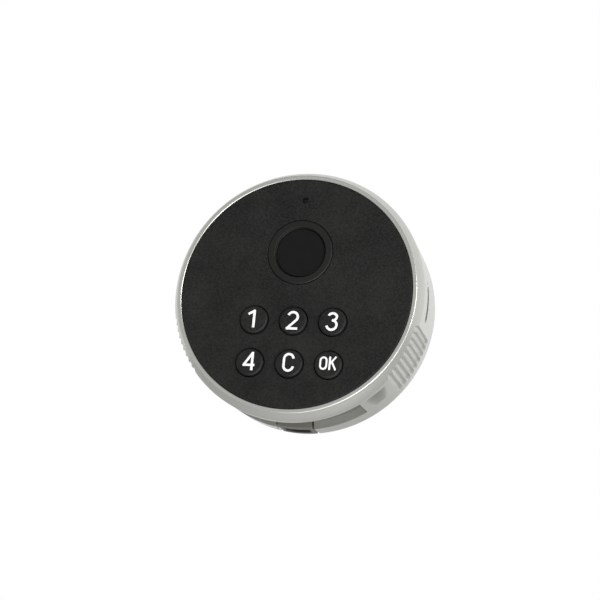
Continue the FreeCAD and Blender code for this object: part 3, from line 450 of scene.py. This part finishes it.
def buildHousing():
    h = housing
    front = faceDepth
    belly = front - h["bellyDrop"]
    profile = [(h["pocketRadius"], front - h["pocketDepth"]), (h["pocketRadius"], front - 0.12),
               (h["pocketRadius"] + 0.12, front)]
    for step in range(6):  # the bezel's rounded outer edge, up to the slope of the shoulder
        turn = math.radians(step * 12)
        profile.append((h["edgeRadius"] - h["edgeDrop"] * (1 - math.sin(turn)),
                        front - h["edgeDrop"] * (1 - math.cos(turn))))
    profile.append((h["edgeRadius"], front - h["edgeDrop"]))
    for step in range(1, 11):
        share = step / 10
        out = 0.6 * share + 0.4 * math.sin(share * math.pi / 2)
        profile.append((h["edgeRadius"] + (bellyRadius - h["edgeRadius"]) * out,
                        front - h["edgeDrop"] - (h["bellyDrop"] - h["edgeDrop"]) * share))
    depths = [belly - 0.25 * k for k in range(1, 8)]
    depths += [h["scoopFront"] + 0.02, h["scoopFront"] - 0.02, 15.2, 14.2, 13.2, 12.2, 11.2, 10.2, 9.4]
    depths += [h["scoopRear"] + 0.02, h["scoopRear"] - 0.25, 7.6, 6.6, 5.8, 5.4, 5.2, 5.0, 4.8, 4.5]
    depths += [4.0, 3.0, 2.4, rearDepth + h["tailRound"]]
    profile += [(wallAt(depth), depth) for depth in depths]
    for angle in (30, 60, 90):
        turn = math.radians(angle)
        profile.append((h["tailRadius"] - h["tailRound"] * (1 - math.cos(turn)),
                        rearDepth + h["tailRound"] * (1 - math.sin(turn))))
    profile += [(h["skirtBore"], rearDepth), (h["skirtBore"], h["ledgeDepth"]),
                (h["cavityRadius"], h["ledgeDepth"]), (h["cavityRadius"], front - h["pocketDepth"])]
    flutes = h["fluteFirst"] + h["flutePitch"] * h["fluteCount"]
    top, bottom = 180 + 2 * h["flutesFrom"], 180 - 2 * h["bottomFrom"]
    fine = (flutes - h["flutesFrom"], int((flutes - h["flutesFrom"]) * 5))
    scoop = (h["bottomFrom"] - flutes, int((h["bottomFrom"] - flutes) * 2))
    bm = turned(profile, [(top, 150), fine, scoop, (bottom, 40), scoop, fine], start=-h["flutesFrom"])
    for vert in bm.verts:
        radius = math.hypot(vert.co.x, vert.co.z)
        depth = -vert.co.y
        if radius < h["edgeRadius"] - h["edgeDrop"]:
            continue
        azimuth = math.degrees(math.atan2(vert.co.z, vert.co.x))
        cut = fluteCut(azimuth, depth, radius) + scoopCut(azimuth, depth, radius)
        if cut > 0:
            vert.co.x *= 1 - cut / radius
            vert.co.z *= 1 - cut / radius
    inner, outer = h["cutInner"], h["cutOuter"]
    window = ringSector(inner, outer, h["windowRear"], h["windowFront"], -90, h["windowHalf"])
    bm = shaped(bm, window)
    notch = ringSector(inner, outer, -1, h["windowRear"] + 0.1, -90 + h["notchTurn"], h["notchHalf"], 12)
    bm = shaped(bm, notch)
    slot = bmesh.new()
    place = Matrix.Translation((h["slotInner"], -h["slotDepth"], h["slotHeight"]))
    place = place @ Matrix.Rotation(math.radians(90), 4, "Y")
    bmesh.ops.create_circle(slot, cap_ends=True, segments=32, radius=h["slotWidth"] / 2, matrix=place)
    straight = (h["slotLength"] - h["slotWidth"]) / 2
    for vert in slot.verts:
        vert.co.z += straight if vert.co.z > h["slotHeight"] else -straight
    raised = bmesh.ops.extrude_face_region(slot, geom=list(slot.faces))
    up = [item for item in raised["geom"] if isinstance(item, bmesh.types.BMVert)]
    bmesh.ops.translate(slot, vec=(h["slotCut"], 0, 0), verts=up)
    bm = shaped(bm, slot)

    def onCuts(point):
        radius = math.hypot(point.x, point.z)
        low = -point.z > 10 and rearDepth - 1 < -point.y < h["windowFront"] + 0.3
        high = abs(point.z - h["slotHeight"]) < 6
        side = high and abs(-point.y - h["slotDepth"]) < h["slotWidth"] and point.x > 0
        return radius > 27 and (low or side)

    softenEdges(bm, h["edgeRound"], onCuts)
    # painted shade: each vertex's depth in a scoop or flute, which darkens the silver there and also roughens
    # it
    hollow = bm.verts.layers.float.new("hollow")
    for vert in bm.verts:
        radius = math.hypot(vert.co.x, vert.co.z)
        azimuth = math.degrees(math.atan2(vert.co.z, vert.co.x))
        if radius > h["pocketRadius"]:
            full = wallAt(min(-vert.co.y, faceDepth - h["bellyDrop"]))
            scoop = (scoopCut(azimuth, -vert.co.y, full) / h["scoopDepth"]) ** 0.5 * h["scoopDull"]
            flute = fluteCut(azimuth, -vert.co.y, full) / h["fluteDepth"] * h["fluteDull"]
            vert[hollow] = min(scoop + flute, 1)
    # painted shade: faces inside the window and the side slot take the dark recess material
    for face in bm.faces:
        centre = face.calc_center_median()
        radius = math.hypot(centre.x, centre.z)
        depth = -centre.y
        below = abs(math.degrees(math.atan2(centre.x, -centre.z))) < h["windowHalf"] + 0.3
        within = h["windowRear"] - 0.02 < depth < h["windowFront"] + 0.02
        window = below and within and radius < wallAt(depth) - 0.12
        beside = abs(centre.z - h["slotHeight"]) < h["slotLength"] / 2 + 0.05 and centre.x > 0
        level = abs(depth - h["slotDepth"]) < h["slotWidth"] / 2 + 0.02
        slotted = beside and level and radius < wallAt(depth) - 0.08
        if window or slotted:
            face.material_index = 1
    piece = finishPiece("housingShell", bm, "knob", "satin_silver", ["housing_shell"])
    piece.data.materials.append(recessGrey)
    return piece


plate = {"edge": 0.25, "thick": 2.0, "holeRound": 0.12, "keyHole": 3.55, "sensorHole": 7.9, "pinhole": 0.75,
         "postX": 20, "postZ": 9, "postRadius": 2, "postLength": 3}
sensor = {"height": 10.0, "lightHeight": 22.7}
keyGrid = {"pitchX": 9.48, "rowTop": -6.74, "rowLow": -17.08}
keyPlaces = {
    "key_1": (-keyGrid["pitchX"], keyGrid["rowTop"]), "key_2": (0, keyGrid["rowTop"]),
    "key_3": (keyGrid["pitchX"], keyGrid["rowTop"]), "key_4": (-keyGrid["pitchX"], keyGrid["rowLow"]),
    "key_c": (0, keyGrid["rowLow"]), "key_ok": (keyGrid["pitchX"], keyGrid["rowLow"]),
}


def buildPlate():
    p = plate
    front, rear = faceDepth, faceDepth - p["thick"]
    bm = turned([(0, rear), (plateRadius, rear), (plateRadius, front - p["edge"]),
                 (plateRadius - 0.07, front - 0.08), (plateRadius - p["edge"], front), (0, front)],
                ((360, 256),), closed=False)
    cutter = rod(p["sensorHole"], rear - 1, front + 1, 0, sensor["height"], 128)
    join(cutter, rod(p["pinhole"], rear - 1, front + 1, 0, sensor["lightHeight"], 32))
    for x, z in keyPlaces.values():
        join(cutter, rod(p["keyHole"], rear - 1, front + 1, x, z, 96))
    bm = shaped(bm, cutter)
    softenEdges(bm, p["holeRound"],
                lambda point: math.hypot(point.x, point.z) < 26 and -point.y > front - 0.5)
    for x, z in ((1, 1), (-1, 1), (-1, -1), (1, -1)):
        join(bm, rod(p["postRadius"], rear - p["postLength"], rear + 0.2, x * p["postX"], z * p["postZ"], 32))
    return finishPiece("facePlate", bm, "knob", "black_shell", ["face_plate"])


def movedUp(bm, x, z):
    bmesh.ops.translate(bm, vec=(x, 0, z), verts=bm.verts)
    return bm


ring = {"radius": 7.75, "bodyInner": 6.7, "flange": 9.0, "lipInner": 5.9, "proud": 0.2, "glassSunk": 0.35}


def buildSensor():
    r = ring
    front, rear = faceDepth, faceDepth - plate["thick"]
    glass = front - r["glassSunk"]
    outer, lip, proud = r["radius"], r["lipInner"], front + r["proud"]
    bm = turned([(r["bodyInner"], rear - 0.85), (r["flange"], rear - 0.85), (r["flange"], rear), (outer, rear),
                 (outer, front), (outer - 0.05, front + 0.12), (outer - 0.2, proud), (lip + 0.35, proud),
                 (lip + 0.27, proud - 0.04), (lip + 0.04, glass - 0.02), (lip, glass - 0.06),
                 (lip, glass - 0.8), (r["bodyInner"], glass - 0.8)], ((360, 160),))
    finishPiece("sensorRing", movedUp(bm, 0, sensor["height"]), "knob", "sensor_metal", ["sensor_ring"], 25)
    bm = turned([(0, rear - 3), (6.6, rear - 3), (6.6, glass - 0.9), (5.8, glass - 0.9), (5.8, glass - 0.1),
                 (5.77, glass - 0.03), (5.7, glass), (0, glass)], ((360, 128),), closed=False)
    return finishPiece("sensorFace", movedUp(bm, 0, sensor["height"]), "knob", "sensor_black",
                       ["fingerprint_sensor"])


key = {"radius": 3.3, "round": 0.5, "proud": 0.8, "flange": 4.2, "flangeThick": 0.8, "stem": 1.6,
       "stemLength": 0.5, "seatGap": 0.05}
legend = {"width": 0.6, "wordWidth": 0.46, "thick": 0.03, "lap": 0.35,
          "lift": {"key_4": 0.2, "key_c": 0.2, "key_ok": 0.3}}
legends = {
    "key_1": [[(-1.3, 1.2), (0.1, 2.0), (0.1, -2.0)]],
    "key_2": [[("arc", 0, 0.82, 1.16, 1.16, 160, -32), (-1.25, -1.97), (1.3, -1.97)]],
    "key_3": [[("arc", 0.05, 1.12, 1.0, 0.86, 160, -90)], [("arc", -0.05, -0.84, 1.2, 1.14, 90, -170)]],
    "key_4": [[(0.7, 2.0), (-1.25, -0.92), (1.35, -0.92)], [(0.7, 2.2), (0.7, -2.2)]],
    "key_c": [[("arc", 0, 0.85, 1.12, 1.14, 4, 180), ("arc", 0, -0.85, 1.12, 1.14, 180, 356)]],
    "key_ok": [[("arc", -1.1, 0.62, 0.74, 0.76, 0, 180), ("arc", -1.1, -0.62, 0.74, 0.76, 180, 360),
                (-0.36, 0.62)],
               [(0.4, 1.6), (0.4, -1.6)], [(1.85, 1.6), (0.45, -0.2)], [(0.9, 0.35), (1.9, -1.6)]],
}


def buildKeys():
    k = key
    top = faceDepth + k["proud"] - legend["thick"]
    flange = faceDepth - plate["thick"] - k["seatGap"]
    rear = flange - k["flangeThick"]
    for name, (x, z) in keyPlaces.items():
        profile = [(0, rear - k["stemLength"]), (k["stem"], rear - k["stemLength"]), (k["stem"], rear),
                   (k["flange"], rear), (k["flange"], flange), (k["radius"], flange)]
        for step in range(7):
            angle = math.radians(15 * step)
            profile.append((k["radius"] - k["round"] * (1 - math.cos(angle)),
                            top - k["round"] * (1 - math.sin(angle))))
        profile.append((0, top))
        bm = turned(profile, ((360, 72),), closed=False)
        finishPiece(name + "Cap", movedUp(bm, x, z), bodyOf[name], "black_key", [name])
        buildLegend(name, x, z, top)


def strokeRuns(stroke, lap):
    # smooth runs of points: arcs stay whole, and a run ends a little past each corner
    points = []
    for item in stroke:
        if item[0] != "arc":
            points.append(Vector(item))
            continue
        midX, midZ, wide, tall, first, last = item[1:]
        steps = max(int(abs(last - first) / 12), 2)
        for step in range(steps + 1):
            angle = math.radians(first + (last - first) * step / steps)
            points.append(Vector((midX + wide * math.cos(angle), midZ + tall * math.sin(angle))))
    runs = [points[:2]]
    for before, here, after in zip(points, points[1:], points[2:]):
        if (here - before).angle(after - here) > math.radians(40):
            runs[-1][-1] = here + (here - before).normalized() * lap
            runs.append([here - (after - here).normalized() * lap])
        runs[-1].append(after)
    return runs


def buildLegend(name, x, z, top):
    # flat white strokes let into the key's face
    g = legend
    width = g["wordWidth"] if name == "key_ok" else g["width"]
    curve = bpy.data.curves.new(name + "Strokes", "CURVE")
    curve.dimensions = "3D"
    curve.bevel_depth = width / 2
    curve.bevel_resolution = 3
    curve.use_fill_caps = True
    for stroke in legends[name]:
        for run in strokeRuns(stroke, width * g["lap"]):
            spline = curve.splines.new("POLY")
            spline.points.add(len(run) - 1)
            for point, (across, high) in zip(spline.points, run):
                point.co = (across, 0, high, 1)
    strokes = bpy.data.objects.new(name + "Strokes", curve)
    bpy.context.scene.collection.objects.link(strokes)
    bpy.context.view_layer.update()
    mesh = bpy.data.meshes.new_from_object(strokes.evaluated_get(bpy.context.evaluated_depsgraph_get()))
    bm = bmesh.new()
    bm.from_mesh(mesh)
    bpy.data.meshes.remove(mesh)
    bpy.data.objects.remove(strokes)
    bpy.data.curves.remove(curve)
    bmesh.ops.scale(bm, vec=(1, g["thick"] / width * 2, 1), verts=bm.verts)
    bmesh.ops.translate(bm, vec=(x, -top, z + g["lift"].get(name, 0)), verts=bm.verts)
    finishPiece(name + "Legend", bm, bodyOf[name], "white_plastic")


barrel = {"radius": 9.5, "bore": 5.06, "length": 20.0, "pitch": 1.5, "threadDepth": 0.55, "flat": 8.2,
          "gasket": 0.8, "base": 20.0, "baseFront": 2.8, "neck": 9.0, "neckFront": 8.0, "clipGroove": 8.2,
          "clipRear": 5.3, "clipFront": 6.4}


def buildBarrel():
    b = barrel
    core = b["radius"] - b["threadDepth"]
    end = -b["length"]
    bm = turned([(b["bore"], end), (core - 0.3, end), (core, end + 0.3), (core, b["gasket"]),
                 (b["base"], b["gasket"]), (b["base"], b["baseFront"] - 0.4),
                 (b["base"] - 0.4, b["baseFront"]),
                 (b["neck"], b["baseFront"]), (b["neck"], b["clipRear"]), (b["clipGroove"], b["clipRear"]),
                 (b["clipGroove"], b["clipFront"]), (b["neck"], b["clipFront"]), (b["neck"], b["neckFront"]),
                 (b["bore"], b["neckFront"])], ((360, 96),))
    thread = bmesh.new()
    start = -b["length"] + 0.4
    half = b["pitch"] / 2
    points = [(core - 0.25, start), (core, start + 0.1), (b["radius"], start + half - 0.12),
              (b["radius"], start + half + 0.12), (core, start + b["pitch"] - 0.1),
              (core - 0.25, start + b["pitch"])]
    verts = [thread.verts.new((r, -depth, 0)) for r, depth in points]
    face = thread.faces.new(verts)
    turns = int((b["length"] - 1.6) / b["pitch"])
    steps = 72 * turns
    bmesh.ops.spin(thread, geom=[face, *face.edges, *face.verts], cent=(0, 0, 0), axis=(0, -1, 0),
                   dvec=(0, -b["pitch"] / 72, 0), angle=math.radians(360 * turns), steps=steps,
                   use_merge=False, use_duplicate=False)
    bmesh.ops.recalc_face_normals(thread, faces=thread.faces)
    for side in (1, -1):
        cut = bmesh.ops.bisect_plane(thread, geom=[*thread.verts, *thread.edges, *thread.faces], dist=1e-4,
                                     plane_co=(side * b["flat"], 0, 0), plane_no=(side, 0, 0),
                                     clear_outer=True)
        rim = [item for item in cut["geom_cut"] if isinstance(item, bmesh.types.BMEdge)]
        bmesh.ops.holes_fill(thread, edges=rim, sides=0)
        cutter = bmesh.new()
        bmesh.ops.create_cube(cutter, size=1)
        bmesh.ops.scale(cutter, vec=(4, b["length"] + 0.5, 30), verts=cutter.verts)
        middle = (side * (b["flat"] + 2), b["length"] / 2 + 0.25, 0)
        bmesh.ops.translate(cutter, vec=middle, verts=cutter.verts)
        bm = shaped(bm, cutter)
    join(bm, thread)
    return finishPiece("lockBarrel", bm, "barrel", "barrel_nickel", ["lock_barrel"])


refinedNodes = {
    "mounting_nut": 0.2, "lock_washer": 0.1, "cam": 0.25, "cam_washer": 0.12, "cam_screw": 0.15,
    "spindle": 0.15, "door_gasket": 0.15, "back_plate": 0.15, "back_screws": 0.1, "power_socket": 0.06,
    "port_insert": 0.1,
}


def refine(name, width):
    # a welded copy of the CAD piece with its flats cleaned and its edges rounded
    bm = bmesh.new()
    bm.from_mesh(nodes[name].data)
    bmesh.ops.scale(bm, vec=(1 / mm, 1 / mm, 1 / mm), verts=bm.verts)
    bmesh.ops.remove_doubles(bm, verts=bm.verts, dist=1e-4)
    bmesh.ops.dissolve_limit(bm, angle_limit=math.radians(0.5), use_dissolve_boundaries=False, verts=bm.verts,
                             edges=bm.edges)
    softenEdges(bm, width, lambda point: True)
    words = name.split("_")
    label = words[0] + "".join(word.title() for word in words[1:])
    return finishPiece(label, bm, bodyOf[name], slotOf[name], [name])


stage = {"halfSize": 12, "height": -1.1}


def buildStage():
    bm = bmesh.new()
    bmesh.ops.create_grid(bm, x_segments=1, y_segments=1, size=stage["halfSize"])
    bmesh.ops.translate(bm, vec=(0, 0, stage["height"]), verts=bm.verts)
    mesh = bpy.data.meshes.new("floor")
    bm.to_mesh(mesh)
    bm.free()
    mesh.materials.append(plainPlastic("floorPaper", (0.70, 0.70, 0.70), (0.72, 0.72, 0.72), 0.8, 40, 0))
    floor = bpy.data.objects.new("floor", mesh)
    bpy.context.scene.collection.objects.link(floor)


lights = {
    "lowBox": {"spot": (0.3, -0.5, -0.45), "size": 0.95, "power": 5.4},
    "rightBox": {"spot": (0.8, -0.5, 0.2), "size": 0.4, "power": 4.4},
    "leftBox": {"spot": (-0.8, -0.5, 0.2), "size": 0.7, "power": 0.7},
    "faceBox": {"spot": (-0.25, -0.9, 0.25), "size": 0.6, "power": 0.2},
    "lowRightBox": {"spot": (0.58, -0.6, -0.54), "size": 0.35, "power": 2.8},
}
aim = Vector((0, -0.01, 0))  # every lamp points at the middle of the knob


def buildLights():
    for name, box in lights.items():
        lamp = bpy.data.lights.new(name, "AREA")
        lamp.shape = "SQUARE"
        lamp.size = box["size"]
        lamp.energy = box["power"]
        item = bpy.data.objects.new(name, lamp)
        item.location = box["spot"]
        item.rotation_euler = (aim - Vector(box["spot"])).to_track_quat("-Z", "Y").to_euler()
        bpy.context.scene.collection.objects.link(item)
    buildWorld()


studio = {"behind": 1.0, "front": 0.42, "dimFrom": -0.35, "brightFrom": 0.55}


def buildWorld():
    # a pale studio, brightest behind the object and dimmer where the camera stands
    s = studio
    world = bpy.data.worlds.new("paleStudio")
    world.use_nodes = True
    room = Graph(world.node_tree)
    spot = room.add("ShaderNodeTexCoord", {}, {}, "Generated")
    along = room.add("ShaderNodeSeparateXYZ", {}, {0: spot}, "Y")
    ends = {"From Min": s["dimFrom"], "From Max": s["brightFrom"],
            "To Min": s["front"], "To Max": s["behind"]}
    glow = room.add("ShaderNodeMapRange", {"interpolation_type": "SMOOTHSTEP"}, {"Value": along, **ends})
    backdrop = world.node_tree.nodes["Background"]
    room.plug(backdrop.inputs["Color"], (1, 1, 1, 1))
    room.plug(backdrop.inputs["Strength"], glow)
    bpy.context.scene.world = world


view = {"spot": (0.24134, -0.89223, -0.23854), "turn": (104.766, -5.522, 13.970), "lens": 240}


def buildCamera():
    camera = bpy.data.objects.new("photoCamera", bpy.data.cameras.new("photoCamera"))
    camera.data.sensor_width = 36
    camera.data.lens = view["lens"]
    camera.data.clip_start = 0.05
    camera.data.clip_end = 20
    camera.location = view["spot"]
    camera.rotation_euler = Euler([math.radians(angle) for angle in view["turn"]], "XYZ")
    bpy.context.scene.collection.objects.link(camera)
    bpy.context.scene.camera = camera


buildHousing()
print("housing built")
buildPlate()
buildSensor()
buildKeys()
print("face built")
buildBarrel()
for nodeName, edgeWidth in refinedNodes.items():
    refine(nodeName, edgeWidth)
print("hardware built")
for nodeName, node in nodes.items():
    for place in node.material_slots:
        place.material = finishes[slotOf[nodeName]]
buildStage()
buildLights()
buildCamera()
bpy.context.scene.view_settings.view_transform = "Standard"
print("stage, lights and camera set")
